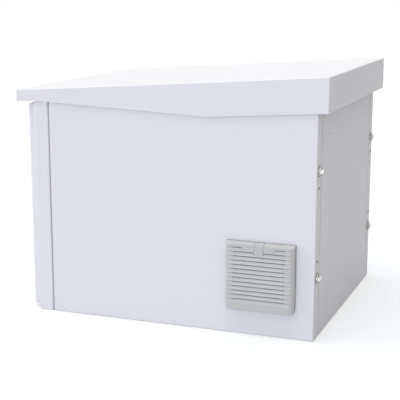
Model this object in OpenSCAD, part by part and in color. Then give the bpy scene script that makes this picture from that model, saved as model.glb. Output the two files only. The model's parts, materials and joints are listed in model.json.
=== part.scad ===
// Roadside utility cabinet: folded sheet body, sloped canopy roof, hinged front door,
// lift-off side panels held by quarter-turn latches, and a filter fan in one side panel.
// Millimetres. +Z is up, the door faces -Y, the filter fan is on +X.
// The origin is the centre of the base's underside.

/* [Body] */
// Width over the side panels
body_w = 600; // [580:1:680]
// Depth from the front frame's face to the rear panel's face
body_d = 709; // [680:1:800]
// Height of the top plate's upper face
body_h = 535; // [520:1:600]
// Thickness of the folded sheet
sheet = 2; // [1.5:0.1:2.5]
// Outer radius of the folds
bend_r = 2.8; // [2.6:0.1:5]

/* [Front frame and door] */
// Depth of the front frame, seen on the sides as a strip
frame_depth = 37.5; // [32:0.5:50]
// Width of the front frame's face round the door opening
frame_face = 45; // [40:1:60]
// Depth of the return fold round the door opening
frame_return = 10; // [6:1:16]
// Gap between the front frame's strip and the side panel
panel_gap = 3.6; // [2:0.1:6]
// Step of the hook strip behind the side panel's front edge
hook_step = 7.5; // [7:0.5:14]
// Reach of the hook strip behind the side panel
hook_reach = 20; // [12:1:30]
// Distance of the door's edge from the frame's side
door_inset = 14; // [14:0.5:20]
// Depth of the door pan
door_t = 22; // [16:1:30]
// Gap between the door pan and the frame's face
door_gap = 2; // [1.5:0.1:4]
// Height of the door's lower edge
door_bottom = 8; // [5:1:20]
// Drop of the door's upper edge below the top plate
door_drop = 16; // [14:1:30]
// Radius of the door's front edges
door_r = 7.5; // [3:0.5:9]
// Width of the fold round the back of the door
door_return = 30; // [26:1:40]
// Width of the door's foam seal
seal_w = 10; // [6:1:14]

/* [Hinges] */
// Radius of a hinge knuckle
knuckle_r = 6; // [5:0.5:6.5]
// Radius of a hinge pin
hinge_pin_r = 3; // [2:0.5:3.5]
// Height of a hinge
hinge_len = 66; // [48:1:90]
// Distance of a hinge's middle from the door's upper or lower edge
hinge_inset = 90; // [60:1:140]

/* [Quarter-turn latches] */
// Distance of a rear latch from the cabinet's side
latch_inset = 19; // [17:0.5:22]
// Height of the lower latches
latch_low = 147; // [110:1:170]
// Drop of the upper latches below the top plate
latch_drop = 140; // [120:1:170]
// Radius of a latch's outer ring
ring_r = 12.5; // [11:0.5:14]
// Thickness of a latch's outer ring
ring_t = 3.5; // [3:0.5:5]
// Width of that ring's rim round the recess
ring_rim = 2.2; // [1.5:0.1:3]
// Radius of a latch's barrel
barrel_r = 9; // [8:0.5:10]
// Radius of a latch's turning shaft
shaft_r = 5; // [4:0.5:6]
// Length of a latch's wing
wing_len = 17; // [14:1:19]
// Width of a latch's wing
wing_w = 9.5; // [8:0.5:11]
// Height of a latch's wing over the ring
wing_h = 5; // [3:0.5:7]
// Length of a latch's cam from its axis
cam_len = 30; // [26:1:34]
// Width of a latch's cam
cam_w = 14; // [12:0.5:16]
// Thickness of a latch's cam
cam_t = 4; // [3:0.5:5]
// Distance of the door latches from the opening's edge
door_latch_inset = 17; // [15:1:22]

/* [Rear] */
// Width of a side panel's fold on the rear
flange_w = 38; // [36:1:44]
// Groove between that fold and the rear panel
groove = 4; // [2:0.5:5]
// Depth of the rear frame
rear_depth = 36; // [30:1:44]
// Half width of the strip left between the rear opening and the groove
rear_strip = 31; // [28:1:36]
// Spacing of the bracket holes across the rear panel
bracket_dx = 390; // [360:1:400]
// Height of the lower bracket holes
bracket_low = 70; // [60:1:90]
// Drop of the upper bracket holes below the top plate
bracket_drop = 65; // [60:1:90]
// Radius of a bracket hole
bracket_r = 2.75; // [2.5:0.05:5]
// Radius of a side panel's locating pin
locator_r = 2.5; // [2:0.1:3]
// Radius of the pin's domed head
locator_head_r = 3.6; // [3.2:0.1:5]
// Height of the pin's domed head
locator_head_h = 2; // [1:0.1:3]
// Distance of a pin from its latch
locator_off = 39; // [34:1:46]

/* [Roof] */
// Overhang of the roof at each side
roof_side = 4.7; // [4:0.1:8]
// Overhang of the roof over the door
roof_front = 45.5; // [40:0.5:60]
// Overhang of the roof at the rear
roof_rear = 25; // [20:1:40]
// Height of the roof's front edge over the top plate
roof_rise = 17; // [14:1:24]
// Slope of the roof in degrees
roof_slope = 4.07; // [3:0.01:6]
// Height of the roof's skirt over the door
skirt_front = 28.5; // [24:0.5:30]
// Height of the roof's skirt at the rear
skirt_rear = 80; // [70:1:90]
// Distance of the kink in the side skirt from the front frame's face
skirt_kink = 452; // [400:1:500]

/* [Filter fan] */
// Width of the filter fan's cover
vent_w = 167; // [160:1:180]
// Height of the filter fan's cover
vent_h = 164; // [160:1:180]
// Distance of the filter fan's middle from the rear
vent_rear = 127.5; // [118:0.5:140]
// Height of the filter fan's middle
vent_mid = 143; // [130:1:160]
// Thickness of the flange on the panel
vent_flange = 1.5; // [1.5:0.1:4]
// Height of the step on the flange, behind the cover
flange_step = 3.3; // [1:0.1:4]
// Setback of that step behind the cover's edge
flange_in = 2.5; // [1:0.5:4]
// Distance of the louvred cover's face from the panel
vent_front = 20; // [18:0.5:26]
// Radius of the cover's upright edges
cover_r = 12; // [8:0.5:15]
// Radius of the cover's lower corners
corner_r = 13; // [4:0.5:14]
// Drop of the cover's sloped top at its face
hood_drop = 5.3; // [4:0.1:8]
// Depth of the cover's sloped top
hood_depth = 12.5; // [6:0.5:13]
// Rise of the cover's lower edge at its face
foot_rise = 3.4; // [1:0.1:8]
// Wall of the cover
cover_wall = 2.5; // [2:0.1:3]
// Number of louvre rows
louvre_n = 13; // [11:1:13]
// Pitch of the louvre rows
louvre_p = 10.22; // [9.5:0.01:10.4]
// Length of a full slot
louvre_len = 124; // [110:1:130]
// Depth of a louvre's recess
louvre_d = 2; // [1.5:0.1:4]
// Depth of the recess beside the slot's ends
ripple_d = 1.5; // [1:0.1:3]
// Height of a slot
louvre_slot = 1.7; // [1.5:0.1:4]
// Thickness of a louvre blade
blade_t = 5; // [4:0.5:6]
// Distance of the first row below the cover's upper edge
louvre_top = 11.25; // [10:0.25:13]
// Width of the plain band that breaks the first row
band_w = 83; // [60:1:95]
// Slant of that band's ends
band_slant = 11.6; // [0:0.1:16]
// Width of the catch in the middle of the cover
catch_w = 21.6; // [16:0.1:28]
// Length of the catch from the cover's upper edge
catch_len = 28.4; // [24:0.1:31]
// Width of the grooves beside the catch
catch_groove = 0.8; // [0.5:0.1:1.5]
// Outer width of the square spigot through the panel
spigot_w = 124; // [123:0.5:132]
// Depth of the spigot behind the panel's face
spigot_d = 20; // [18:1:30]
// Wall of the spigot
spigot_wall = 3; // [2:0.5:3]
// Thickness of the filter mat
mat_t = 9; // [6:0.5:10]
// Width of the fan
fan_w = 119; // [116:0.5:120]
// Depth of the fan
fan_t = 38; // [32:1:44]
// Radius of the fan's air passage
fan_bore = 57; // [54:0.5:57.5]
// Spacing of the fan's screws
fan_pitch = 105; // [103:0.5:106]
// Radius of the rotor's hub
hub_r = 20; // [16:1:26]
// Number of rotor blades
blade_n = 7; // [5:1:9]
// Radius of the rotor's shaft
rotor_shaft_r = 2.5; // [2:0.5:4]

/* [Base and interior] */
// Height of the base tray's side folds
tray_h = 40; // [30:1:60]
// Radius of a ground anchor hole
anchor_r = 7; // [5:0.5:9]
// Spacing of the anchor holes across the width
anchor_dx = 420; // [380:1:430]
// Spacing of the anchor holes along the depth
anchor_dy = 580; // [560:1:600]
// Width of the cable entry in the base
entry_w = 320; // [260:1:360]
// Depth of the cable entry in the base
entry_d = 110; // [90:1:130]
// Distance of the cable entry's middle from the rear
entry_rear = 150; // [140:1:180]
// Number of cable grommets
grommet_n = 5; // [3:1:5]
// Radius of a cable grommet's neck
grommet_r = 20; // [14:1:22]
// Distance of the mounting rails' hole rows from the cabinet's side
rail_inset = 67.45; // [60:0.05:80]
// Width of a mounting rail's face
rail_w = 30; // [28:1:32]
// Depth of a mounting rail
rail_d = 30; // [26:1:34]
// Distance of the front rails from the front frame's face
rail_front = 84; // [76:1:120]
// Distance between the front and rear rails
rail_depth = 400; // [360:1:410]
// Side of a rail's square hole
rail_hole = 9.5; // [8:0.5:10]
// Rack units between the rails' ends
rail_units = 10; // [8:1:10]
// Width of the slots in the top plate
slot_w = 7; // [5:0.5:9]
// Number of slots in the top plate
slot_n = 18; // [12:1:20]

/* [Hidden] */
$fn = 48;

paint = [0.90, 0.91, 0.93];
zinc = [0.72, 0.73, 0.75];
bright = [0.82, 0.82, 0.82];
plastic = [0.77, 0.78, 0.79];
black = [0.10, 0.10, 0.11];
rubber = [0.13, 0.13, 0.13];
felt = [0.88, 0.88, 0.86];

over = 1;               // how far a cut runs past a face
run = 0.05;             // radial clearance of a turning fit
loose = 0.4;            // clearance of a screw or barrel in its hole
clear = 0.3;            // gap between a moving piece and its neighbour

half_w = body_w / 2;
half_d = body_d / 2;
skin_z0 = sheet;                        // the skins stand on the base tray
skin_z1 = body_h - sheet;               // and end under the top plate
opening_x = half_w - frame_face;        // half width of the door opening
opening_z0 = skin_z0 + frame_face - sheet;
opening_z1 = skin_z1 - frame_face;
frame_back = -half_d + frame_depth;
hook_end = frame_back + hook_reach;
panel_y0 = frame_back + panel_gap;
rear_plate = half_d - sheet;            // rear face of the rear frame
rear_front = half_d - rear_depth;
rear_x = half_w - 3 * sheet;            // half width of the rear frame
rear_panel_x = half_w - flange_w - groove;
rear_open_x = rear_panel_x - rear_strip;

// Base
fold_gap = 1;                           // between a fold and the skin beside it
tray_x = half_w - sheet - fold_gap;
tray_y0 = -half_d + over;
tray_y1 = rear_plate;
entry_y = half_d - entry_rear;
entry_lap = 14;                         // gland plate beyond the entry, all round
bolt_r = 3;                             // screws that hold the frames and rails
bolt_head_r = 5;
bolt_head_t = 4;
frame_bolt_side = 100;                  // from the cabinet's side
frame_bolt_x = half_w - frame_bolt_side;
frame_bolt_y = [-half_d + frame_depth / 2, half_d - rear_depth / 2];
stud_r = 4;                             // earth stud
stud_len = 30;
washer_t = 1.6;
earth_nut_r = 7.4;
earth_nut_t = 6.5;
stud_side = 60;                         // from the cabinet's side and rear
stud_rear = 120;
stud_x = -half_w + stud_side;
stud_y = half_d - stud_rear;
grommet_spare = 0.2;                    // share of a pitch left over at the row's ends
grommet_pitch = entry_w / (grommet_n + grommet_spare);
grommet_lip = 4;
grommet_tip_r = 0.3 * grommet_r;
grommet_rise = 0.9 * grommet_r;
gland_screw_r = 2.5;
gland_head_r = 4.5;
gland_head_t = 3;

// Door
door_x = half_w - door_inset;
door_back = -half_d - door_gap;
door_face = door_back - door_t;
door_z0 = door_bottom;
door_z1 = body_h - door_drop;
hinge_gap = 1;                          // between a knuckle and the frame
hinge_x = -half_w + knuckle_r + hinge_gap;
hinge_y = -half_d - knuckle_r - hinge_gap;
hinge_zs = [door_z0 + hinge_inset, door_z1 - hinge_inset];
knuckle_len = hinge_len / 3;
pin_head_lip = 1.5;
pin_head_r = hinge_pin_r + pin_head_lip;
pin_head_t = 2;
pin_tail = 3;                           // pin below the lowest knuckle
seal_over = 12;                         // seal beyond the fold's inner edge
door_latch_x = opening_x - door_latch_inset;
door_cam_gap = 0.5;                     // between a door cam and the frame's return
door_cam_reach = door_t + door_gap + frame_return + door_cam_gap;

// Latches
latch_x = half_w - latch_inset;
cup_r = ring_r - ring_rim;              // recess in the ring, and its floor over the panel
cup_floor = 1;
disc_r = cup_r - clear;
disc_t = 1;
drive = shaft_r * 1.3;                  // side of the square that carries a cam
cam_boss = 1;                           // round end of a cam beyond its sides
rear_cam_reach = 2 * sheet + clear;
cam_room = 2;                           // round a cam in the rear frame's slot
cam_slot_x = cam_w / 2 + cam_boss + cam_room;
rear_stud_end = 70;                     // from the rear panel's ends
latch_high = body_h - latch_drop;
rear_studs = [rear_stud_end, (latch_low + latch_high) / 2, body_h - rear_stud_end];
rear_stud_x = (rear_panel_x + rear_open_x) / 2;
rear_stud_r = 2.5;
rear_stud_len = 12;
locator_len = 2 * sheet + 3;            // pin behind the panel's face
locator_low = latch_low + locator_off;
locator_high = latch_high - locator_off;
shelf_gap = 3;                          // between the side panel's top fold and the frames
nut_r = 5;
nut_t = 4;

// Roof
roof_x = half_w + roof_side;
roof_y0 = -half_d - roof_front;
roof_y1 = half_d + roof_rear;
kink_y = -half_d + skirt_kink;
roof_drop = sheet / cos(roof_slope);    // sheet thickness measured upright
function roof_top(y) = body_h + roof_rise + (y - roof_y0) * tan(roof_slope);
support_side = 95;                      // from the cabinet's side, and from the front and rear
support_end = 30;
support_x = half_w - support_side;
support_w = 22;
support_y = half_d - support_end;
support_gap = 0.1;                      // between the supports and the roof
roof_bolt_r = 4;
roof_bolt_head_r = 6.5;
roof_bolt_head_t = 5;
roof_bolt_tail = 4;                     // beyond the support's fold
roof_bolt_end = 90;                     // from the front frame's face and the rear
roof_bolt_ys = [-half_d + roof_bolt_end, 0, half_d - roof_bolt_end];

// Filter fan
vent_y = half_d - vent_rear;
cover_back = vent_flange + flange_step + clear;
cover_axis_r = 3;                       // distance of the cover's hinge from its edges
cover_axis_y = -vent_h / 2 + cover_axis_r;
cover_axis_z = cover_back + cover_axis_r;
cover_pin_r = 1.5;
cover_lug_x = 50;
cover_lug_t = 4;
cover_sill = 7;                         // solid edge along the cover's foot
foot_lip = 0.7;                         // flat of the foot beyond the hinge's notch
foot_flat = cover_axis_r + clear + foot_lip;
cavity_z = vent_front - louvre_d - blade_t;
row_top = vent_h / 2 - louvre_top;
louvre_land = 1.2;                      // flat front edge of a blade
groove_d = 1;                           // depth of the grooves beside the catch
spigot_in = spigot_w - 2 * spigot_wall;
grid_t = 4;
back_plate = 3;
fan_front = -spigot_d;
fan_back = fan_front - fan_t;
strut_t = 4;
strut_in = 0.5;                         // struts inside the housing's rear face
strut_back = fan_back + strut_in;
rotor_gap = 1.5;                        // round the rotor and behind it
rotor_sunk = 4;                         // rotor behind the housing's front
rotor_back = strut_back + strut_t + rotor_gap;
rotor_front = fan_front - rotor_sunk;
rotor_r = fan_bore - rotor_gap;
blade_pitch = 38;
fan_corner = 5;
hub_lip = 2;                            // motor plate beyond the rotor's hub
strut_w = 6;
shaft_tip = 6;                          // rotor's front over the end of its shaft
rotor_skin = 5;                         // rotor's front over the end of its bore
blade_thick = 2;
blade_root = 2;                         // blade inside the hub
guard_t = 2;
guard_ring = 2.5;                       // width of a guard ring
guard_rings = 4;
guard_p = 14;                           // pitch of the guard rings
guard_bar = 4;
guard_eye = 5;
fan_screw_r = 1.9;
fan_head_r = 3.8;
fan_head_t = 2.5;

// Top plate
slot_len = 60;                          // air slots, and the plain plate round their field
slot_edge = 15;

// Mounting rails
rail_unit = 44.45;
rail_pitch = body_w - 2 * rail_inset;   // between the rails' hole rows
rail_edge = 8;                          // from the hole row to the inner edge of a rail's face
rail_face_x = rail_pitch / 2 - rail_edge;
rail_foot = 0.6 * rail_d;               // foot screw behind a rail's face
rail_offsets = [6.35, 22.225, 38.1];    // square holes in one rack unit
rail_ys = [-half_d + rail_front, -half_d + rail_front + rail_depth];
rail_z0 = (body_h - rail_units * rail_unit) / 2;

// Solid between two opposite corners
module span(lo, hi) {
    translate(lo)
        cube(hi - lo);
}

// Round bars along each axis, from a start point
module rod_x(p, r, len) {
    translate(p)
        rotate([0, 90, 0])
            cylinder(r = r, h = len);
}

module rod_y(p, r, len) {
    translate(p)
        rotate([-90, 0, 0])
            cylinder(r = r, h = len);
}

module rod_z(p, r, len) {
    translate(p)
        cylinder(r = r, h = len);
}

// The same shape on the right and on the left
module both_sides() {
    children();
    mirror([1, 0, 0])
        children();
}

// Outline in the Y-Z plane, extruded across the width
module along_x(x0, x1) {
    translate([x0, 0, 0])
        rotate([90, 0, 90])
            linear_extrude(x1 - x0)
                children();
}

// Rectangle centred on X with both lower corners rounded
module rounded_front(half, lo, hi, r) {
    union() {
        translate([-half, lo + r])
            square([2 * half, hi - lo - r]);
        translate([-half + r, lo])
            square([2 * half - 2 * r, 2 * r]);
        for (s = [-1, 1])
            translate([s * (half - r), lo + r])
                circle(r);
    }
}

// Rectangle with both outer corners rounded, from a lower to an upper corner
module rounded_side(lo, hi, r) {
    translate([0, (lo[1] + hi[1]) / 2])
        rotate(90)
            rounded_front((hi[1] - lo[1]) / 2, -hi[0], -lo[0], r);
}

// Rectangle with four round corners, centred
module rounded_plate(w, h, r) {
    square([w - 2 * r, h], center = true);
    square([w, h - 2 * r], center = true);
    for (sx = [-1, 1], sy = [-1, 1])
        translate([sx * (w / 2 - r), sy * (h / 2 - r)])
            circle(r);
}

// Screw with its head at the lower end, pointing up
module screw_up(p, r, head_r, head_t, len) {
    rod_z(p, r, len);
    rod_z(p - [0, 0, head_t], head_r, head_t);
}

// Screw with its head at the upper end, pointing down
module screw_down(p, r, head_r, head_t, len) {
    rod_z(p - [0, 0, len], r, len);
    rod_z(p, head_r, head_t);
}

// Places of the screws that hold the frames to the base and the top plate
module at_frame_bolts() {
    for (sx = [-1, 1], y = frame_bolt_y)
        translate([sx * frame_bolt_x, y, 0])
            children();
}

// Places of the mounting rails' foot screws
module at_rail_bolts() {
    for (sx = [-1, 1])
        for (y = [rail_ys[0] + rail_foot, rail_ys[1] - rail_foot])
            translate([sx * (rail_face_x + rail_w / 2), y, 0])
                children();
}

module at_anchors() {
    for (sx = [-1, 1], sy = [-1, 1])
        translate([sx * anchor_dx / 2, sy * anchor_dy / 2, 0])
            children();
}

module at_grommets() {
    for (i = [0 : grommet_n - 1])
        translate([(i - (grommet_n - 1) / 2) * grommet_pitch, entry_y, 0])
            children();
}

module at_gland_screws() {
    for (sx = [-1, 0, 1], sy = [-1, 1])
        translate([sx * (entry_w + entry_lap) / 2, entry_y + sy * (entry_d + entry_lap) / 2, 0])
            children();
}

module at_roof_bolts() {
    for (sx = [-1, 1], y = roof_bolt_ys)
        translate([sx * (support_x + support_w / 2), y, 0])
            children();
}

// Base tray: floor with upright folds along the sides
module base_tray() {
    color(zinc)
        difference() {
            union() {
                span([-tray_x, tray_y0, 0], [tray_x, tray_y1, sheet]);
                both_sides()
                    span([tray_x - sheet, panel_y0 + sheet + fold_gap, 0],
                         [tray_x, rear_front - fold_gap, tray_h]);
            }
            span([-entry_w / 2, entry_y - entry_d / 2, -over],
                 [entry_w / 2, entry_y + entry_d / 2, sheet + over]);
            at_anchors()
                rod_z([0, 0, -over], anchor_r, sheet + 2 * over);
            at_frame_bolts()
                rod_z([0, 0, -over], bolt_r + loose, sheet + 2 * over);
            at_rail_bolts()
                rod_z([0, 0, -over], bolt_r + loose, sheet + 2 * over);
            at_gland_screws()
                rod_z([0, 0, -over], gland_screw_r + loose, sheet + 2 * over);
        }
}

module gland_plate() {
    color(zinc)
        difference() {
            span([-entry_w / 2 - entry_lap, entry_y - entry_d / 2 - entry_lap, sheet],
                 [entry_w / 2 + entry_lap, entry_y + entry_d / 2 + entry_lap, 2 * sheet]);
            at_grommets()
                rod_z([0, 0, sheet - over], grommet_r, sheet + 2 * over);
            at_gland_screws()
                rod_z([0, 0, sheet - over], gland_screw_r + loose, sheet + 2 * over);
        }
}

module gland_screws() {
    color(bright)
        at_gland_screws()
            screw_down([0, 0, 2 * sheet], gland_screw_r, gland_head_r, gland_head_t, 2 * sheet - clear);
}

// Blanked rubber grommets, each with a cone that is cut to suit a cable
module cable_grommets() {
    neck = grommet_r - clear;
    lip = grommet_r + grommet_lip;
    color(rubber)
        at_grommets()
            rotate_extrude()
                polygon([
                    [0, clear], [lip, clear], [lip, sheet], [neck, sheet], [neck, 2 * sheet],
                    [lip, 2 * sheet], [lip, 3 * sheet], [neck * 0.8, 4 * sheet],
                    [grommet_tip_r, grommet_rise], [0, grommet_rise]
                ]);
}

// Threaded stud for the earth lead, with its nut and washer
module earth_stud() {
    color(bright)
        translate([stud_x, stud_y, sheet]) {
            rod_z([0, 0, 0], stud_r, stud_len);
            rod_z([0, 0, 0], 2 * stud_r, washer_t);
            translate([0, 0, washer_t])
                cylinder(r = earth_nut_r, h = earth_nut_t, $fn = 6);
        }
}

// Plan of the front frame's folded section
module frame_plan(inset) {
    translate([0, -half_d + frame_depth / 2])
        rounded_plate(body_w - 2 * inset, frame_depth - 2 * inset, bend_r - inset);
}

// Welded ring of folded sheet round the door opening, with hook strips for the side panels
module front_frame() {
    face = -half_d;
    color(paint)
        difference() {
            union() {
                difference() {
                    translate([0, 0, skin_z0])
                        linear_extrude(skin_z1 - skin_z0)
                            frame_plan(0);
                    translate([0, 0, skin_z0 + sheet])
                        linear_extrude(skin_z1 - skin_z0 - 2 * sheet)
                            frame_plan(sheet);
                    span([-half_w + hook_step, frame_back - sheet - over, skin_z0 + sheet],
                         [half_w - hook_step, frame_back + over, skin_z1 - sheet]);
                }
                both_sides()
                    span([half_w - hook_step, frame_back - sheet, skin_z0],
                         [half_w - hook_step + sheet, hook_end, skin_z1]);
                span([-opening_x - sheet, face, opening_z0 - sheet],
                     [opening_x + sheet, face + frame_return, opening_z1 + sheet]);
            }
            span([-opening_x, face - over, opening_z0],
                 [opening_x, face + frame_return + over, opening_z1]);
            at_frame_bolts() {
                rod_z([0, 0, skin_z0 - over], bolt_r + loose, sheet + 2 * over);
                rod_z([0, 0, skin_z1 - sheet - over], bolt_r + loose, sheet + 2 * over);
            }
        }
}

// Welded ring behind the rear panel, with the slots that the side panels' cams pass through
module rear_frame() {
    face = rear_plate - sheet;
    color(zinc)
        difference() {
            union() {
                span([-rear_x, face, skin_z0], [rear_x, rear_plate, skin_z1]);
                both_sides()
                    span([rear_x - sheet, rear_front, skin_z0], [rear_x, rear_plate, skin_z1]);
                span([-rear_x, rear_front, skin_z0], [rear_x, rear_plate, skin_z0 + sheet]);
                span([-rear_x, rear_front, skin_z1 - sheet], [rear_x, rear_plate, skin_z1]);
            }
            span([-rear_open_x, face - over, opening_z0], [rear_open_x, rear_plate + over, opening_z1]);
            both_sides() {
                for (z = [latch_low, latch_high])
                    span([latch_x - cam_slot_x, face - over, z - cam_len - cam_room],
                         [latch_x + cam_slot_x, rear_plate + over, z + barrel_r + cam_room]);
                for (z = rear_studs)
                    rod_y([rear_stud_x, face - over, z], rear_stud_r + loose, sheet + 2 * over);
                for (z = [locator_low, locator_high])
                    rod_y([latch_x, face - over, z], locator_r + loose, sheet + 2 * over);
            }
            at_frame_bolts() {
                rod_z([0, 0, skin_z0 - over], bolt_r + loose, sheet + 2 * over);
                rod_z([0, 0, skin_z1 - sheet - over], bolt_r + loose, sheet + 2 * over);
            }
        }
}

// Top plate under the canopy, with the slots where the warm air leaves
module top_plate() {
    slot_y = hook_end + slot_edge;
    slot_pitch = 2 * (support_x - slot_edge) / slot_n;
    color(zinc)
        difference() {
            span([-tray_x, tray_y0, skin_z1], [tray_x, tray_y1, body_h]);
            for (i = [0 : slot_n - 1])
                translate([(i - (slot_n - 1) / 2) * slot_pitch, 0, 0])
                    span([-slot_w / 2, slot_y, skin_z1 - over],
                         [slot_w / 2, slot_y + slot_len, body_h + over]);
            at_frame_bolts()
                rod_z([0, 0, skin_z1 - over], bolt_r + loose, sheet + 2 * over);
            at_rail_bolts()
                rod_z([0, 0, skin_z1 - over], bolt_r + loose, sheet + 2 * over);
            at_roof_bolts()
                rod_z([0, 0, skin_z1 - over], roof_bolt_r + loose, sheet + 2 * over);
        }
}

module frame_bolts() {
    color(bright)
        at_frame_bolts() {
            screw_down([0, 0, skin_z0 + sheet], bolt_r, bolt_head_r, bolt_head_t, 2 * sheet - clear);
            screw_up([0, 0, skin_z1 - sheet], bolt_r, bolt_head_r, bolt_head_t, 2 * sheet - clear);
        }
}

// Lift-off side panel, folded round the rear corner
module side_panel() {
    lip = hook_step - sheet - fold_gap;
    shelf = hook_step + sheet;
    difference() {
        union() {
            translate([0, 0, skin_z0])
                linear_extrude(skin_z1 - skin_z0)
                    difference() {
                        rounded_side([half_w - flange_w, panel_y0], [half_w, half_d], bend_r);
                        rounded_side([half_w - flange_w - over, panel_y0 + sheet],
                                     [half_w - sheet, half_d - sheet], bend_r - sheet);
                        translate([half_w - flange_w - over, panel_y0 - over])
                            square([flange_w + over - lip, sheet + 2 * over]);
                    }
            span([half_w - shelf, hook_end + shelf_gap, skin_z1 - sheet],
                 [half_w - sheet / 2, rear_front - shelf_gap, skin_z1]);
        }
        for (z = [latch_low, latch_high])
            rod_y([latch_x, half_d - sheet - over, z], barrel_r + loose, sheet + 2 * over);
        for (z = [locator_low, locator_high])
            rod_y([latch_x, half_d - sheet - over, z], locator_r + run, sheet + 2 * over);
    }
}

module side_panel_right() {
    cut = spigot_w / 2 + loose;
    color(paint)
        difference() {
            side_panel();
            span([half_w - sheet - over, vent_y - cut, vent_mid - cut],
                 [half_w + over, vent_y + cut, vent_mid + cut]);
        }
}

module side_panel_left() {
    color(paint)
        mirror([1, 0, 0])
            side_panel();
}

// Rear panel with bracket holes and the welded studs that hold it to the rear frame
module rear_panel() {
    color(paint)
        difference() {
            union() {
                span([-rear_panel_x, half_d - sheet, skin_z0], [rear_panel_x, half_d, skin_z1]);
                both_sides()
                    for (z = rear_studs)
                        rod_y([rear_stud_x, half_d - sheet - rear_stud_len, z], rear_stud_r,
                              rear_stud_len + sheet / 2);
            }
            for (sx = [-1, 1], z = [bracket_low, body_h - bracket_drop])
                rod_y([sx * bracket_dx / 2, half_d - sheet - over, z], bracket_r, sheet + 2 * over);
        }
}

module rear_panel_nuts() {
    color(bright)
        both_sides()
            for (z = rear_studs)
                difference() {
                    translate([rear_stud_x, rear_plate - sheet - nut_t, z])
                        rotate([-90, 0, 0])
                            cylinder(r = nut_r, h = nut_t, $fn = 6);
                    rod_y([rear_stud_x, rear_plate - sheet - nut_t - over, z], rear_stud_r + run,
                          nut_t + 2 * over);
                }
}

// Waste outside a round top edge of the roof: the edge's middle, and which way it faces
module roof_edge(y, way) {
    z = roof_top(y) - bend_r / cos(roof_slope);
    reach = bend_r + over;
    translate([y, z])
        difference() {
            polygon([
                [0, 0], [way * reach, 0], [way * reach, 2 * reach],
                [-2 * reach * sin(roof_slope), 2 * reach * cos(roof_slope)]
            ]);
            circle(bend_r);
        }
}

// Canopy folded from one sheet: the skirt is deeper from the kink to the rear
module roof() {
    color(paint)
        difference() {
            intersection() {
                translate([0, roof_y0, roof_top(roof_y0)])
                    rotate([roof_slope, 0, 0])
                        translate([0, 2 * body_d, 0])
                            rotate([90, 0, 0])
                                linear_extrude(3 * body_d)
                                    mirror([0, 1])
                                        rounded_front(roof_x, 0, body_h, bend_r);
                linear_extrude(2 * body_h)
                    translate([0, (roof_y0 + roof_y1) / 2])
                        rounded_plate(2 * roof_x, roof_y1 - roof_y0, bend_r);
            }
            along_x(-roof_x - over, roof_x + over) {
                roof_edge(roof_y0 + bend_r, -1);
                roof_edge(roof_y1 - bend_r, 1);
            }
            along_x(-roof_x + sheet, roof_x - sheet)
                polygon([
                    [roof_y0 + sheet, 0],
                    [roof_y0 + sheet, roof_top(roof_y0 + sheet) - roof_drop],
                    [roof_y1 - sheet, roof_top(roof_y1 - sheet) - roof_drop],
                    [roof_y1 - sheet, 0]
                ]);
            along_x(-roof_x - over, roof_x + over)
                polygon([
                    [roof_y0 - over, -over],
                    [roof_y0 - over, roof_top(roof_y0) - skirt_front],
                    [roof_y0, roof_top(roof_y0) - skirt_front],
                    [-half_d, roof_top(-half_d) - skirt_front],
                    [kink_y, roof_top(kink_y) - skirt_rear],
                    [roof_y1, roof_top(roof_y1) - skirt_rear],
                    [roof_y1 + over, roof_top(roof_y1) - skirt_rear],
                    [roof_y1 + over, -over]
                ]);
        }
}

// Two folded wedges that carry the roof on the top plate
module roof_supports() {
    function under(y) = roof_top(y) - roof_drop - support_gap;
    color(zinc)
        both_sides()
            difference() {
                union() {
                    along_x(support_x, support_x + sheet)
                        polygon([
                            [-support_y, body_h], [support_y, body_h],
                            [support_y, under(support_y)], [-support_y, under(-support_y)]
                        ]);
                    along_x(support_x, support_x + support_w)
                        polygon([
                            [-support_y, under(-support_y) - sheet], [support_y, under(support_y) - sheet],
                            [support_y, under(support_y)], [-support_y, under(-support_y)]
                        ]);
                    span([support_x, -support_y, body_h], [support_x + support_w, support_y, body_h + sheet]);
                }
                for (y = roof_bolt_ys)
                    rod_z([support_x + support_w / 2, y, body_h - over], roof_bolt_r + loose,
                          sheet + 2 * over);
            }
}

module roof_bolts() {
    color(bright)
        at_roof_bolts()
            screw_up([0, 0, skin_z1], roof_bolt_r, roof_bolt_head_r, roof_bolt_head_t,
                     2 * sheet + roof_bolt_tail);
}

// Pair of upright rails with square holes, front and rear, each with a foot at both ends
module mounting_rails() {
    face_x1 = rail_face_x + rail_w;
    color(zinc)
        both_sides()
            for (i = [0, 1]) {
                back = i == 0 ? rail_ys[0] : rail_ys[1] - rail_d;
                plate = i == 0 ? rail_ys[0] : rail_ys[1] - sheet;
                difference() {
                    union() {
                        span([rail_face_x, plate, skin_z0], [face_x1, plate + sheet, skin_z1]);
                        span([face_x1 - sheet, back, skin_z0], [face_x1, back + rail_d, skin_z1]);
                        span([rail_face_x, back, skin_z0], [face_x1, back + rail_d, skin_z0 + sheet]);
                        span([rail_face_x, back, skin_z1 - sheet], [face_x1, back + rail_d, skin_z1]);
                    }
                    for (u = [0 : rail_units - 1], off = rail_offsets)
                        translate([rail_pitch / 2, plate + sheet / 2, rail_z0 + u * rail_unit + off])
                            cube([rail_hole, sheet + 2 * over, rail_hole], center = true);
                    foot_y = i == 0 ? rail_ys[0] + rail_foot : rail_ys[1] - rail_foot;
                    for (z = [skin_z0, skin_z1 - sheet])
                        rod_z([rail_face_x + rail_w / 2, foot_y, z - over], bolt_r + loose, sheet + 2 * over);
                }
            }
}

module rail_bolts() {
    color(bright)
        at_rail_bolts() {
            screw_down([0, 0, skin_z0 + sheet], bolt_r, bolt_head_r, bolt_head_t, 2 * sheet - clear);
            screw_up([0, 0, skin_z1 - sheet], bolt_r, bolt_head_r, bolt_head_t, 2 * sheet - clear);
        }
}

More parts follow.
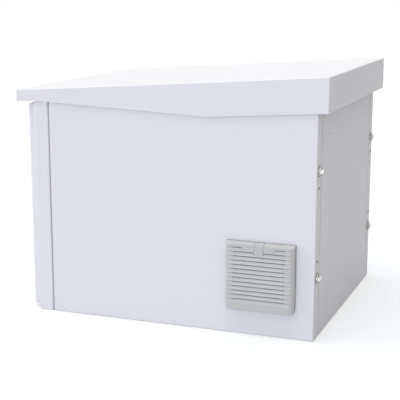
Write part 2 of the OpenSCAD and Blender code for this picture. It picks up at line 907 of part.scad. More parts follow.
// Door as a solid block set in by one value, with its front edges rounded
module door_block(inset) {
    half = (door_z1 - door_z0) / 2 - inset;
    intersection() {
        translate([0, 0, door_z0 + inset])
            linear_extrude(2 * half)
                rounded_front(door_x - inset, door_face + inset, door_back - inset, door_r - inset);
        along_x(-door_x + inset, door_x - inset)
            translate([0, (door_z0 + door_z1) / 2])
                rotate(-90)
                    rounded_front(half, door_face + inset, door_back - inset, door_r - inset);
    }
}

// Door pan with rounded front edges and a fold round its back
module door() {
    color(paint)
        difference() {
            door_block(0);
            door_block(sheet);
            span([-door_x + door_return, door_face + sheet, door_z0 + door_return],
                 [door_x - door_return, door_back + over, door_z1 - door_return]);
            for (z = [latch_low, latch_high])
                rod_y([door_latch_x, door_face - over, z], barrel_r + loose, sheet + 2 * over);
        }
}

// Foam seal on the fold round the door's back
module door_seal() {
    out = door_return - seal_over;
    color(rubber)
        difference() {
            span([-door_x + out, door_back, door_z0 + out],
                 [door_x - out, door_back + door_gap - clear, door_z1 - out]);
            span([-door_x + out + seal_w, door_back - over, door_z0 + out + seal_w],
                 [door_x - out - seal_w, door_back + door_gap + over, door_z1 - out - seal_w]);
        }
}

// Outer knuckles, each on a foot that stands on the frame's face
module hinge_frame_leaves() {
    foot = knuckle_r * 3 / 4;
    color(bright)
        for (mid = hinge_zs, s = [-1, 1])
            translate([hinge_x, hinge_y, mid + s * knuckle_len]) {
                len = knuckle_len - 2 * clear;
                difference() {
                    union() {
                        rod_z([0, 0, -len / 2], knuckle_r, len);
                        span([-foot, 0, -len / 2], [foot, -half_d - hinge_y, len / 2]);
                    }
                    rod_z([0, 0, -len], hinge_pin_r + run, 2 * len);
                }
            }
}

// Middle knuckles, each on a foot that stands on the door's edge
module hinge_door_leaves() {
    foot = knuckle_r * 2 / 3;
    color(bright)
        for (mid = hinge_zs)
            translate([hinge_x, hinge_y, mid]) {
                len = knuckle_len - 2 * clear;
                difference() {
                    union() {
                        rod_z([0, 0, -len / 2], knuckle_r, len);
                        span([0, -foot, -len / 2], [-door_x - hinge_x, foot, len / 2]);
                    }
                    rod_z([0, 0, -len], hinge_pin_r + run, 2 * len);
                }
            }
}

module hinge_pins() {
    reach = 1.5 * knuckle_len - clear;
    color(bright)
        for (mid = hinge_zs)
            translate([hinge_x, hinge_y, mid]) {
                rod_z([0, 0, -reach - pin_tail], hinge_pin_r, 2 * reach + pin_tail);
                rod_z([0, 0, reach], pin_head_r, pin_head_t);
            }
}

// Latch pieces, drawn with the panel's face at zero and the outside on +Z
module latch_barrel(depth) {
    difference() {
        union() {
            cylinder(r = ring_r, h = ring_t);
            rod_z([0, 0, -depth], barrel_r, depth + over);
        }
        rod_z([0, 0, cup_floor], cup_r, ring_t);
        rod_z([0, 0, -depth - over], shaft_r + run, depth + ring_t + 2 * over);
    }
}

module latch_knob(reach) {
    face = cup_floor + clear;
    rod_z([0, 0, face], disc_r, disc_t);
    span([-wing_len / 2, -wing_w / 2, face + disc_t / 2], [wing_len / 2, wing_w / 2, ring_t + wing_h]);
    rod_z([0, 0, -reach], shaft_r, reach + face + disc_t / 2);
    translate([0, 0, -reach - cam_t / 2 + over / 2])
        cube([drive, drive, cam_t + over], center = true);
}

module latch_cam(reach) {
    translate([0, 0, -reach - cam_t])
        linear_extrude(cam_t)
            difference() {
                union() {
                    circle(cam_w / 2 + cam_boss);
                    translate([0, -cam_w / 2])
                        square([cam_len, cam_w]);
                }
                square(drive, center = true);
            }
}

// Places of a rear latch and of a door latch, with the outside on the local +Z
module on_rear(side, z) {
    translate([side * latch_x, half_d, z])
        rotate([-90, 0, 0])
            children();
}

module on_door(z) {
    translate([door_latch_x, door_face, z])
        rotate([90, 0, 0])
            children();
}

module door_latch_barrels() {
    color(bright)
        for (z = [latch_low, latch_high])
            on_door(z)
                latch_barrel(door_cam_reach - clear);
}

module door_latch(z) {
    color(bright)
        on_door(z)
            rotate(90)
                latch_knob(door_cam_reach);
}

module door_cam(z) {
    color(zinc)
        on_door(z)
            rotate(90)
                latch_cam(door_cam_reach);
}

module door_latch_upper() {
    door_latch(latch_high);
}

module door_cam_upper() {
    door_cam(latch_high);
}

module door_latch_lower() {
    door_latch(latch_low);
}

module door_cam_lower() {
    door_cam(latch_low);
}

module rear_latch_barrels() {
    color(bright)
        for (side = [-1, 1], z = [latch_low, latch_high])
            on_rear(side, z)
                latch_barrel(2 * sheet);
}

// Domed pins in the side panels' rear folds, which enter holes in the rear frame
module locating_pins() {
    ball = (locator_head_r ^ 2 + locator_head_h ^ 2) / (2 * locator_head_h);
    color(bright)
        for (side = [-1, 1], z = [locator_low, locator_high])
            on_rear(side, z) {
                intersection() {
                    translate([0, 0, locator_head_h - ball])
                        sphere(ball);
                    cylinder(r = 2 * locator_head_r, h = ball);
                }
                rod_z([0, 0, -locator_len], locator_r, locator_len + locator_head_h / 2);
            }
}

module rear_latch(side, z) {
    color(bright)
        on_rear(side, z)
            latch_knob(rear_cam_reach);
}

// A rear cam points to the cabinet's middle when it is locked
module rear_cam(side, z) {
    color(zinc)
        on_rear(side, z)
            rotate(side > 0 ? 180 : 0)
                latch_cam(rear_cam_reach);
}

module latch_upper_right() {
    rear_latch(1, latch_high);
}

module cam_upper_right() {
    rear_cam(1, latch_high);
}

module latch_lower_right() {
    rear_latch(1, latch_low);
}

module cam_lower_right() {
    rear_cam(1, latch_low);
}

module latch_upper_left() {
    rear_latch(-1, latch_high);
}

module cam_upper_left() {
    rear_cam(-1, latch_high);
}

module latch_lower_left() {
    rear_latch(-1, latch_low);
}

module cam_lower_left() {
    rear_cam(-1, latch_low);
}

// Filter fan pieces are drawn with X along the panel, Y up and Z out of the panel's face
module on_vent() {
    translate([half_w, vent_y, vent_mid])
        rotate([90, 0, 90])
            children();
}

module at_fan_screws() {
    for (sx = [-1, 1], sy = [-1, 1])
        translate([sx * fan_pitch / 2, sy * fan_pitch / 2, 0])
            children();
}

// Flange and spigot through the panel, with the grid behind the mat and the cover's hinge lugs
module filter_frame() {
    bar = 3;
    lug_r = cover_axis_r - clear;
    color(plastic)
        on_vent()
            difference() {
                union() {
                    difference() {
                        union() {
                            linear_extrude(vent_flange)
                                rounded_front(vent_w / 2, -vent_h / 2, vent_h / 2, corner_r);
                            linear_extrude(vent_flange + flange_step)
                                rounded_front(vent_w / 2 - flange_in, -vent_h / 2 + flange_in,
                                              vent_h / 2 - flange_in, corner_r - flange_in);
                            span([-spigot_w / 2, -spigot_w / 2, -spigot_d],
                                 [spigot_w / 2, spigot_w / 2, over]);
                        }
                        span([-spigot_in / 2, -spigot_in / 2, -spigot_d + back_plate],
                             [spigot_in / 2, spigot_in / 2, vent_flange + flange_step + over]);
                        rod_z([0, 0, -spigot_d - over], fan_bore, back_plate + 2 * over);
                    }
                    for (i = [-1, 0, 1]) {
                        translate([i * spigot_in / 4, 0, -spigot_d + back_plate + grid_t / 2])
                            cube([bar, spigot_in + over, grid_t], center = true);
                        translate([0, i * spigot_in / 4, -spigot_d + back_plate + grid_t / 2])
                            cube([spigot_in + over, bar, grid_t], center = true);
                    }
                    for (s = [-1, 1])
                        translate([s * cover_lug_x - cover_lug_t / 2, cover_axis_y, 0]) {
                            span([0, -lug_r, vent_flange - over], [cover_lug_t, lug_r, cover_axis_z]);
                            rod_x([0, 0, cover_axis_z], lug_r, cover_lug_t);
                        }
                }
                for (s = [-1, 1])
                    rod_x([s * cover_lug_x - cover_lug_t, cover_axis_y, cover_axis_z], cover_pin_r + run,
                          2 * cover_lug_t);
                at_fan_screws()
                    rod_z([0, 0, -spigot_d - over], fan_screw_r + run, back_plate + 2 * over);
            }
}

module filter_mat() {
    side = spigot_in - 2 * clear;
    color(felt)
        on_vent()
            translate([0, 0, -spigot_d + back_plate + grid_t + mat_t / 2])
                cube([side, side, mat_t], center = true);
}

// Outline of a row's recess at its ends, and of its blade, in the height and depth of the cover
module ripple_outline(top) {
    polygon([
        [top, vent_front - ripple_d],
        [top - louvre_p + louvre_land, vent_front],
        [top - louvre_p + louvre_land, vent_front + over],
        [top, vent_front + over]
    ]);
}

module blade_outline(top) {
    polygon([
        [top - louvre_slot, vent_front - louvre_d],
        [top - louvre_p + louvre_land, vent_front],
        [top - louvre_p, vent_front],
        [top - louvre_p, vent_front - blade_t],
        [top - louvre_slot, cavity_z]
    ]);
}

module cover_shell() {
    low = -vent_h / 2;
    high = vent_h / 2;
    difference() {
        intersection() {
            translate([0, high, 0])
                rotate([90, 0, 0])
                    linear_extrude(vent_h)
                        mirror([0, 1])
                            rounded_front(vent_w / 2, -vent_front, -cover_back, cover_r);
            along_x(-vent_w / 2, vent_w / 2)
                polygon([
                    [low + cover_axis_r, cover_back],
                    [low, cover_back + cover_axis_r],
                    [low, cover_axis_z + foot_flat],
                    [low + foot_rise, vent_front],
                    [high - hood_drop, vent_front],
                    [high, vent_front - hood_depth],
                    [high, cover_back]
                ]);
            linear_extrude(vent_front)
                rounded_front(vent_w / 2, low, high, corner_r);
        }
        span([-vent_w / 2 + cover_wall, low + cover_sill, 0],
             [vent_w / 2 - cover_wall, high - hood_drop - cover_wall, cavity_z]);
    }
}

// Groove beside the catch, down the sloped top and the face
module catch_outline(low) {
    high = vent_h / 2;
    polygon([
        [low, vent_front + over],
        [low, vent_front - groove_d],
        [high - hood_drop - groove_d, vent_front - groove_d],
        [high - groove_d, vent_front - hood_depth - groove_d],
        [high + over, vent_front - hood_depth - groove_d],
        [high + over, vent_front + over]
    ]);
}

// Louvred cover that swings down to reach the filter mat
module louvre_cover() {
    rows = [for (row = [0 : louvre_n - 1]) row_top - row * louvre_p];
    slot_x = louvre_len / 2;
    notch = cover_axis_r + clear;
    catch_low = vent_h / 2 - catch_len;
    color(plastic)
        on_vent()
            difference() {
                union() {
                    difference() {
                        cover_shell();
                        for (top = rows) {
                            along_x(-vent_w / 2 - over, vent_w / 2 + over)
                                ripple_outline(top);
                            span([-slot_x, top - louvre_p, cavity_z - over],
                                 [slot_x, top, vent_front + over]);
                        }
                        for (s = [-1, 1])
                            translate([s * cover_lug_x, cover_axis_y, 0])
                                span([-cover_lug_t / 2 - clear, -cover_axis_r - over, 0],
                                     [cover_lug_t / 2 + clear, notch, cover_axis_z + notch]);
                    }
                    for (top = rows)
                        along_x(-slot_x - clear, slot_x + clear)
                            blade_outline(top);
                    translate([0, 0, cavity_z])
                        linear_extrude(vent_front - cavity_z)
                            polygon([
                                [-band_w / 2, row_top + clear], [band_w / 2, row_top + clear],
                                [band_w / 2, row_top], [band_w / 2 - band_slant, row_top - louvre_p],
                                [-band_w / 2 + band_slant, row_top - louvre_p], [-band_w / 2, row_top]
                            ]);
                    span([-catch_w / 2, catch_low, cavity_z], [catch_w / 2, row_top, vent_front]);
                    for (s = [-1, 1])
                        rod_x([s * cover_lug_x - cover_lug_t, cover_axis_y, cover_axis_z], cover_pin_r,
                              2 * cover_lug_t);
                }
                for (s = [-1, 1])
                    along_x(s * catch_w / 2 - catch_groove / 2, s * catch_w / 2 + catch_groove / 2)
                        catch_outline(catch_low);
            }
}

// Fan housing with a round passage, and the struts that carry the rotor's shaft
module fan_housing() {
    color(black)
        on_vent()
            difference() {
                union() {
                    difference() {
                        translate([0, 0, fan_back])
                            linear_extrude(fan_t)
                                rounded_plate(fan_w, fan_w, fan_corner);
                        rod_z([0, 0, fan_back - over], fan_bore, fan_t + 2 * over);
                    }
                    rod_z([0, 0, strut_back], hub_r + hub_lip, strut_t);
                    rod_z([0, 0, strut_back + over], rotor_shaft_r, rotor_front - shaft_tip - strut_back);
                    for (a = [30, 150, 270])
                        rotate(a)
                            translate([-strut_w / 2, hub_r, strut_back])
                                cube([strut_w, fan_bore + over - hub_r, strut_t]);
                }
                at_fan_screws()
                    rod_z([0, 0, fan_back - over], fan_screw_r + loose, fan_t + 2 * over);
            }
}

module fan_rotor() {
    depth = rotor_front - rotor_back;
    color(black)
        on_vent()
            difference() {
                intersection() {
                    rod_z([0, 0, rotor_back], rotor_r, depth);
                    union() {
                        rod_z([0, 0, rotor_back], hub_r, depth);
                        for (i = [0 : blade_n - 1])
                            rotate(i * 360 / blade_n)
                                translate([hub_r - blade_root, 0, (rotor_back + rotor_front) / 2])
                                    rotate([blade_pitch, 0, 0])
                                        translate([0, -depth, -blade_thick / 2])
                                            cube([rotor_r, 2 * depth, blade_thick]);
                    }
                }
                rod_z([0, 0, rotor_back - over], rotor_shaft_r + run, depth - rotor_skin + over);
            }
}

// Flat finger guard on the inner face of the fan
module fan_guard() {
    color(bright)
        on_vent()
            translate([0, 0, fan_back - guard_t])
                linear_extrude(guard_t)
                    difference() {
                        union() {
                            for (i = [1 : guard_rings])
                                difference() {
                                    circle(i * guard_p);
                                    circle(i * guard_p - guard_ring);
                                }
                            for (a = [45, 135])
                                rotate(a)
                                    square([fan_pitch * sqrt(2), guard_bar], center = true);
                            for (sx = [-1, 1], sy = [-1, 1])
                                translate([sx * fan_pitch / 2, sy * fan_pitch / 2])
                                    circle(guard_eye);
                        }
                        for (sx = [-1, 1], sy = [-1, 1])
                            translate([sx * fan_pitch / 2, sy * fan_pitch / 2])
                                circle(fan_screw_r + loose);
                    }
}

module fan_screws() {
    color(bright)
        on_vent()
            at_fan_screws()
                screw_up([0, 0, fan_back - guard_t], fan_screw_r, fan_head_r, fan_head_t,
                         fan_t + guard_t + back_plate);
}

base_tray();
gland_plate();
gland_screws();
cable_grommets();
earth_stud();
front_frame();
rear_frame();
top_plate();
frame_bolts();
side_panel_right();
side_panel_left();
rear_panel();
rear_panel_nuts();
roof();
roof_supports();
roof_bolts();
mounting_rails();
rail_bolts();
door();
door_seal();
hinge_frame_leaves();
hinge_door_leaves();
hinge_pins();
door_latch_barrels();
door_latch_upper();
door_cam_upper();
door_latch_lower();
door_cam_lower();
rear_latch_barrels();
locating_pins();
latch_upper_right();
cam_upper_right();
latch_lower_right();
cam_lower_right();
latch_upper_left();
cam_upper_left();
latch_lower_left();
cam_lower_left();
filter_frame();
filter_mat();
louvre_cover();
fan_housing();
fan_rotor();
fan_guard();
fan_screws();
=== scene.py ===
import json
import math

import bmesh
import bpy
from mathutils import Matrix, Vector


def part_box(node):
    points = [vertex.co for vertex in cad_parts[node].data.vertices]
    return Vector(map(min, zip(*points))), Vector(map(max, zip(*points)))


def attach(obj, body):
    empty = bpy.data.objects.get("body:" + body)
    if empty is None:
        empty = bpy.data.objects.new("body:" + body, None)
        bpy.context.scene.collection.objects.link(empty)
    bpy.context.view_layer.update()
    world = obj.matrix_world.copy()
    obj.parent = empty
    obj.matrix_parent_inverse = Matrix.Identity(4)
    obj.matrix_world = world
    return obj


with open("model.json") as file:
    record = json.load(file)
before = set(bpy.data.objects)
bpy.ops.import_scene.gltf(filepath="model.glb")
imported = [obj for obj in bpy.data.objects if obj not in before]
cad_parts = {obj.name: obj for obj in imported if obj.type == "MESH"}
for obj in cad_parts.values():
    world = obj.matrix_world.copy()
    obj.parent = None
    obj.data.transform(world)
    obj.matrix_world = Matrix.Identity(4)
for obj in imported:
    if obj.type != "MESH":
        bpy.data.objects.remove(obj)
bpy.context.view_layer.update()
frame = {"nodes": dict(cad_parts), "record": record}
nodes = frame["nodes"]
scene = bpy.context.scene

# Camera of the photograph, in metres and in the part's frame
CAMERA_PLACE = Vector((2.5296, 0.9166, 0.8165))
CAMERA_BACK = Vector((0.91558, 0.34480, 0.20692))
IMAGE_PX = 400
FOCAL_PX = 1047.63
SENSOR_MM = 36.0

# Strength of the soft light from all round, and the colour of the background where it is seen
WORLD_LIGHT = 0.435
PURE_WHITE = (1.0, 1.0, 1.0)

# Lamps: name, the direction it comes from, strength, width in degrees, colour, and whether it
# shows in reflections
LAMPS = [
    ("overhead", Vector((0.05, -0.15, 1.0)), 1.70, 60.0, (0.965, 1.0, 1.0), True),
    ("broad_side", Vector((0.975, -0.01, 0.22)), 1.10, 24.0, (0.765, 0.835, 0.985), True),
    ("door_side", Vector((0.20, -0.95, 0.25)), 1.00, 40.0, (0.80, 0.87, 1.0), True),
    ("far_side", Vector((-0.99, -0.08, 0.02)), 0.50, 24.0, (0.90, 0.95, 1.0), False),
]

# Floor: its size and how far it lies under the part, in metres, its colour, and its white glow,
# which is seen, also in reflections, but gives no soft light
FLOOR_SIZE = 12.0
FLOOR_DROP = 0.0004
FLOOR_COLOUR = (0.52, 0.52, 0.52)
FLOOR_GLOW = 0.50

# Colours of the finishes
WHITE = (0.812, 0.787, 0.796)
GREY = (0.566, 0.549, 0.526)
ZINC = (0.56, 0.57, 0.58)
BRIGHT = (0.72, 0.72, 0.71)
CHROME = (0.80, 0.79, 0.76)
CAST = (0.42, 0.41, 0.38)
BURNISHED = (0.16, 0.16, 0.155)
BRASS = (0.72, 0.55, 0.24)
BLACK = (0.022, 0.022, 0.024)
RUBBER = (0.018, 0.018, 0.018)
FELT = (0.80, 0.80, 0.77)

# Painted shade in the seams of the paint and the slots of the plastic: how far across a gap it is
# looked for, in metres, and by what share it darkens the colour
SEAM_REACH = 0.003
SEAM_PAINTED_SHADE = 0.22
SLOT_REACH = 0.006
SLOT_PAINTED_SHADE = 0.38
GAP_SAMPLES = 8

# Parts of a texture's range that a ramp stretches: the middle of a noise, all of it, and the
# openness of a surface from a narrow gap to a plain face
MIDDLE_SPAN = (0.3, 0.7)
FULL_SPAN = (0.0, 1.0)
OPEN_SPAN = (0.35, 0.95)

# Edges are rounded where faces meet at more than SHARP_DEG. Before that, points closer than
# WELD_REACH metres are joined and faces within FLAT_DEG of each other become one
SHARP_DEG = 30.0
FLAT_DEG = 0.5
WELD_REACH = 0.00001
EDGE_SEGMENTS = 3

# Radius in metres of folded, cast or moulded edges, and the CAD nodes that have it
SOFT_EDGES = [
    (0.0006, ["roof", "front_frame", "side_panel_right", "side_panel_left", "filter_frame",
              "rear_latch_barrels", "door_latch_barrels"]),
    (0.0007, ["rear_panel", "latch_upper_right", "latch_lower_right", "latch_upper_left",
              "latch_lower_left", "door_latch_upper", "door_latch_lower"]),
]

# Black strip in the groove behind the louvred cover, a dark sheet that paints the groove's shade, in
# metres: its sides' places inside the cover's outline and behind its rear face, the outline's upper
# corners, how far the strip ends above the cover's foot, and the radius of its edges
SHADE_STRIP_OUT = 0.0003
SHADE_STRIP_IN = 0.0024
SHADE_STRIP_FRONT = 0.0003
SHADE_STRIP_BACK = 0.0036
SHADE_STRIP_CORNER = 0.0027
SHADE_STRIP_STEPS = 10
SHADE_STRIP_END = 0.014
SHADE_STRIP_EDGE = 0.0004


class Graph:
    """Shorthand for building one material's nodes."""

    def __init__(self, name):
        self.material = bpy.data.materials.new(name)
        self.material.use_nodes = True
        self.tree = self.material.node_tree
        self.shader = self.tree.nodes["Principled BSDF"]
        self.coords = self.add("ShaderNodeTexCoord").outputs["Object"]

    def add(self, kind, **values):
        node = self.tree.nodes.new(kind)
        for key, value in values.items():
            setattr(node, key, value)
        return node

    def link(self, out, socket):
        self.tree.links.new(out, socket)

    def set(self, socket, value):
        """Gives one of the shader's sockets a number, a colour or another node's output."""
        if isinstance(value, (int, float)):
            self.shader.inputs[socket].default_value = value
        elif isinstance(value, tuple):
            self.shader.inputs[socket].default_value = (*value, 1)
        else:
            self.link(value, self.shader.inputs[socket])

    def noise(self, scale, detail=3.0, rough=0.5, coords=None):
        """Noise whose scale is in cycles per metre."""
        node = self.add("ShaderNodeTexNoise")
        node.inputs["Scale"].default_value = scale
        node.inputs["Detail"].default_value = detail
        node.inputs["Roughness"].default_value = rough
        self.link(coords or self.coords, node.inputs["Vector"])
        return node.outputs["Fac"]

    def cells(self, scale):
        """Random colour of cells whose scale is in cycles per metre."""
        node = self.add("ShaderNodeTexVoronoi")
        node.inputs["Scale"].default_value = scale
        self.link(self.coords, node.inputs["Vector"])
        return node.outputs["Color"]

    def stretched(self, scale):
        node = self.add("ShaderNodeMapping")
        node.inputs["Scale"].default_value = scale
        self.link(self.coords, node.inputs["Vector"])
        return node.outputs["Vector"]

    def ramp(self, value, low=0.0, high=1.0, span=MIDDLE_SPAN):
        """Runs from low to high while the value runs over the span."""
        node = self.add("ShaderNodeMapRange")
        node.inputs["From Min"].default_value = span[0]
        node.inputs["From Max"].default_value = span[1]
        node.inputs["To Min"].default_value = low
        node.inputs["To Max"].default_value = high
        self.link(value, node.inputs["Value"])
        return node.outputs["Result"]

    def tint(self, share, dark, light):
        """Mixes two colours by a share of the light one."""
        node = self.add("ShaderNodeMix", data_type="RGBA")
        node.inputs["A"].default_value = (*dark, 1)
        node.inputs["B"].default_value = (*light, 1)
        self.link(share, node.inputs["Factor"])
        return node.outputs["Result"]

    def painted_gap_shade(self, colour, reach, shade_share):
        """Colour with painted shade, darker by a share in narrow gaps and corners."""
        gap = self.add("ShaderNodeAmbientOcclusion", samples=GAP_SAMPLES)
        gap.inputs["Distance"].default_value = reach
        unshaded = self.ramp(gap.outputs["AO"], low=1.0 - shade_share, span=OPEN_SPAN)
        node = self.add("ShaderNodeMix", data_type="RGBA", blend_type="MULTIPLY")
        node.inputs["Factor"].default_value = 1.0
        self.link(colour, node.inputs["A"])
        self.link(unshaded, node.inputs["B"])
        return node.outputs["Result"]

    def bump(self, height, strength, distance):
        node = self.add("ShaderNodeBump")
        node.inputs["Strength"].default_value = strength
        node.inputs["Distance"].default_value = distance
        self.link(height, node.inputs["Height"])
        return node.outputs["Normal"]


def shade(colour, factor):
    return tuple(c * factor for c in colour)


def powder_coat():
    g = Graph("white_powder_coat")
    clouds = g.ramp(g.noise(scale=2.3, detail=2.0))
    paint = g.tint(clouds, dark=shade(WHITE, factor=0.985), light=WHITE)
    # Painted shade: the paint is darker in its seams and narrow gaps
    g.set("Base Color", g.painted_gap_shade(paint, SEAM_REACH, SEAM_PAINTED_SHADE))
    g.set("Roughness", g.ramp(g.noise(scale=900.0, detail=2.0), low=0.42, high=0.56))
    g.set("Specular IOR Level", 0.4)
    g.set("Normal", g.bump(g.noise(scale=700.0), strength=0.10, distance=0.0004))
    return g.material


def moulded_plastic(name, colour):
    g = Graph(name)
    clouds = g.ramp(g.noise(scale=18.0, detail=2.0))
    plastic = g.tint(clouds, dark=shade(colour, factor=0.97), light=colour)
    # Painted shade: the plastic is darker in its slots and narrow gaps
    g.set("Base Color", g.painted_gap_shade(plastic, SLOT_REACH, SLOT_PAINTED_SHADE))
    g.set("Roughness", g.ramp(g.noise(scale=1400.0, detail=2.0), low=0.40, high=0.54))
    g.set("Normal", g.bump(g.noise(scale=1600.0, detail=2.0), strength=0.08, distance=0.0002))
    return g.material


def galvanised():
    g = Graph("galvanised_sheet")
    spangle = g.ramp(g.cells(scale=140.0), span=FULL_SPAN)
    g.set("Base Color", g.tint(spangle, dark=shade(ZINC, factor=0.86), light=shade(ZINC, factor=1.06)))
    g.set("Metallic", 0.9)
    g.set("Roughness", g.ramp(spangle, low=0.34, high=0.50, span=FULL_SPAN))
    return g.material


def plated(name, colour, rough):
    g = Graph(name)
    scuffs = g.ramp(g.noise(scale=420.0, detail=4.0))
    g.set("Base Color", g.tint(scuffs, dark=shade(colour, factor=0.93), light=colour))
    g.set("Metallic", 1.0)
    g.set("Roughness", g.ramp(g.noise(scale=300.0), low=0.8 * rough, high=1.3 * rough))
    g.set("Normal", g.bump(g.noise(scale=900.0, detail=2.0), strength=0.05, distance=0.0002))
    return g.material


def soft_rubber():
    g = Graph("black_rubber")
    g.set("Base Color", g.tint(g.noise(scale=60.0), dark=RUBBER, light=shade(RUBBER, factor=1.9)))
    g.set("Roughness", g.ramp(g.noise(scale=500.0), low=0.62, high=0.80))
    g.set("Normal", g.bump(g.noise(scale=1100.0), strength=0.2, distance=0.0003))
    return g.material


def fibre_mat():
    g = Graph("filter_felt")
    strands = g.noise(scale=260.0, detail=6.0, rough=0.7, coords=g.stretched((1.0, 0.25, 1.0)))
    g.set("Base Color", g.tint(g.ramp(strands), dark=shade(FELT, factor=0.78), light=FELT))
    g.set("Roughness", g.ramp(strands, low=0.9))
    g.set("Normal", g.bump(strands, strength=0.6, distance=0.0015))
    return g.material


# Finish of each material slot in the record
FINISHES = {
    "white_paint": powder_coat(),
    "galvanised": galvanised(),
    "bright_zinc": plated("bright_zinc", BRIGHT, rough=0.32),
    "latch_chrome": plated("latch_chrome", CHROME, rough=0.08),
    "brass_plate": plated("brass", BRASS, rough=0.30),
    "grey_plastic": moulded_plastic("grey_plastic", GREY),
    "black_plastic": moulded_plastic("black_plastic", BLACK),
    "black_rubber": soft_rubber(),
    "filter_felt": fibre_mat(),
}

# Nodes with a finish of their own, which is darker than their slot's
CAST_RINGS = plated("die_cast_rings", CAST, rough=0.30)
OWN_FINISHES = {
    "rear_latch_barrels": CAST_RINGS,
    "door_latch_barrels": CAST_RINGS,
    "locating_pins": plated("burnished_pins", BURNISHED, rough=0.22),
}


def dress_nodes():
    """Gives every CAD node its own finish, or else that of its slot in the record."""
    for part in frame["record"]["subparts"]:
        mesh = nodes[part["node"]].data
        mesh.materials.clear()
        mesh.materials.append(OWN_FINISHES.get(part["node"], FINISHES[part["material_slot"]]))


def round_edges(piece, radius):
    """Rounds the sharp edges of a piece by a modifier, which leaves its mesh as it is."""
    edge = piece.modifiers.new("edge", "BEVEL")
    edge.width = radius
    edge.segments = EDGE_SEGMENTS
    edge.limit_method = "ANGLE"
    edge.angle_limit = math.radians(SHARP_DEG)
    return edge


def soften_nodes():
    """Rounds the CAD nodes' edges, after modifiers that turn their triangles into whole faces."""
    for radius, names in SOFT_EDGES:
        for name in names:
            weld = nodes[name].modifiers.new("weld", "WELD")
            weld.merge_threshold = WELD_REACH
            flat = nodes[name].modifiers.new("flat", "DECIMATE")
            flat.decimate_type = "DISSOLVE"
            flat.angle_limit = math.radians(FLAT_DEG)
            round_edges(nodes[name], radius).harden_normals = True


def shade_strip_path(low, high, inset):
    """Points up one side of the cover's outline, over its top and down the other side."""
    radius = SHADE_STRIP_CORNER - inset
    corner_z = high.z - SHADE_STRIP_CORNER
    points = [(low.y + inset, low.z + SHADE_STRIP_END)]
    for corner_y, first_deg, last_deg in ((low.y + SHADE_STRIP_CORNER, 180.0, 90.0),
                                          (high.y - SHADE_STRIP_CORNER, 90.0, 0.0)):
        for step in range(SHADE_STRIP_STEPS + 1):
            angle = math.radians(first_deg + (last_deg - first_deg) * step / SHADE_STRIP_STEPS)
            points.append((corner_y + radius * math.cos(angle), corner_z + radius * math.sin(angle)))
    points.append((high.y - inset, low.z + SHADE_STRIP_END))
    return points


def shade_strip_mesh():
    """Closed strip, whose four long edges each follow the cover's outline."""
    low, high = (Vector(c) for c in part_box("louvre_cover"))
    rows = []
    shape = bmesh.new()
    for inset, depth in ((SHADE_STRIP_OUT, SHADE_STRIP_FRONT), (SHADE_STRIP_OUT, SHADE_STRIP_BACK),
                         (SHADE_STRIP_IN, SHADE_STRIP_BACK), (SHADE_STRIP_IN, SHADE_STRIP_FRONT)):
        rows.append([shape.verts.new((low.x - depth, y, z)) for y, z in shade_strip_path(low, high, inset)])
    for side, row in enumerate(rows):
        following = rows[(side + 1) % len(rows)]
        for step in range(len(row) - 1):
            shape.faces.new((row[step], row[step + 1], following[step + 1], following[step]))
    for end in (0, -1):
        shape.faces.new([row[end] for row in rows])
    bmesh.ops.recalc_face_normals(shape, faces=shape.faces)
    mesh = bpy.data.meshes.new("cover_shade_strip")
    shape.to_mesh(mesh)
    shape.free()
    return mesh


def add_cover_shade_strip():
    """Black strip round three sides of the filter frame, painted shade seen as a dark line in the
    groove behind the cover.
    """
    mesh = shade_strip_mesh()
    mesh.materials.append(FINISHES["black_rubber"])
    shade_strip = bpy.data.objects.new("cover_shade_strip", mesh)
    scene.collection.objects.link(shade_strip)
    round_edges(shade_strip, SHADE_STRIP_EDGE)
    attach(shade_strip, "cabinet")


def add_camera():
    data = bpy.data.cameras.new("camera")
    data.sensor_fit = "HORIZONTAL"
    data.sensor_width = SENSOR_MM
    data.lens = SENSOR_MM * FOCAL_PX / IMAGE_PX
    camera = bpy.data.objects.new("camera", data)
    camera.location = CAMERA_PLACE
    camera.rotation_euler = (-CAMERA_BACK).to_track_quat("-Z", "Y").to_euler()
    scene.collection.objects.link(camera)
    scene.camera = camera


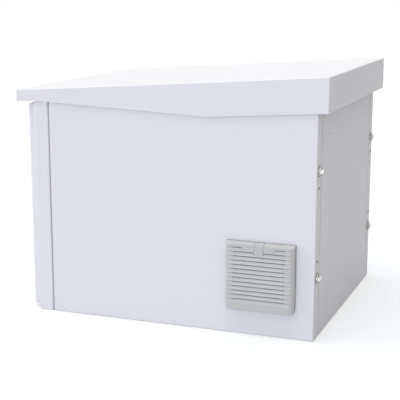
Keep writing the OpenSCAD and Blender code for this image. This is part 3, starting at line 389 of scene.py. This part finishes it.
def seen_rays(tree):
    """One for camera, glossy and transmission rays, zero for the rays that carry soft light."""
    path = tree.nodes.new("ShaderNodeLightPath")
    seen = path.outputs["Is Camera Ray"]
    for name in ("Is Glossy Ray", "Is Transmission Ray"):
        either = tree.nodes.new("ShaderNodeMath")
        either.operation = "MAXIMUM"
        tree.links.new(seen, either.inputs[0])
        tree.links.new(path.outputs[name], either.inputs[1])
        seen = either.outputs[0]
    return seen


def add_world():
    """Plain soft light, and a white background where it is seen."""
    world = bpy.data.worlds.new("studio")
    world.use_nodes = True
    tree = world.node_tree
    background = tree.nodes["Background"]
    background.inputs["Color"].default_value = (*PURE_WHITE, 1)
    strength = tree.nodes.new("ShaderNodeMapRange")
    strength.inputs["To Min"].default_value = WORLD_LIGHT
    strength.inputs["To Max"].default_value = 1.0
    tree.links.new(seen_rays(tree), strength.inputs["Value"])
    tree.links.new(strength.outputs["Result"], background.inputs["Strength"])
    scene.world = world


def add_lamps():
    for name, place, strength, width_deg, colour, reflected in LAMPS:
        data = bpy.data.lights.new(name, "SUN")
        data.energy = strength
        data.angle = math.radians(width_deg)
        data.color = colour
        lamp = bpy.data.objects.new(name, data)
        lamp.rotation_euler = place.to_track_quat("Z", "Y").to_euler()
        lamp.visible_glossy = reflected
        scene.collection.objects.link(lamp)


def add_floor():
    """Pale floor that shows white where it is fully lit and keeps the object's shadow."""
    half = FLOOR_SIZE / 2
    corners = [(x * half, y * half, -FLOOR_DROP) for x, y in ((-1, -1), (1, -1), (1, 1), (-1, 1))]
    mesh = bpy.data.meshes.new("floor")
    mesh.from_pydata(corners, [], [(0, 1, 2, 3)])
    floor = bpy.data.objects.new("floor", mesh)
    scene.collection.objects.link(floor)
    g = Graph("pale_floor")
    g.set("Base Color", FLOOR_COLOUR)
    g.set("Roughness", 1.0)
    g.set("Specular IOR Level", 0.0)
    g.set("Emission Color", PURE_WHITE)
    g.set("Emission Strength", g.ramp(seen_rays(g.tree), high=FLOOR_GLOW, span=FULL_SPAN))
    mesh.materials.append(g.material)


add_camera()
add_world()
add_lamps()
add_floor()
dress_nodes()
soften_nodes()
# Painted shade: a black strip that darkens the groove behind the louvred cover
add_cover_shade_strip()

scene.view_settings.view_transform = "Standard"
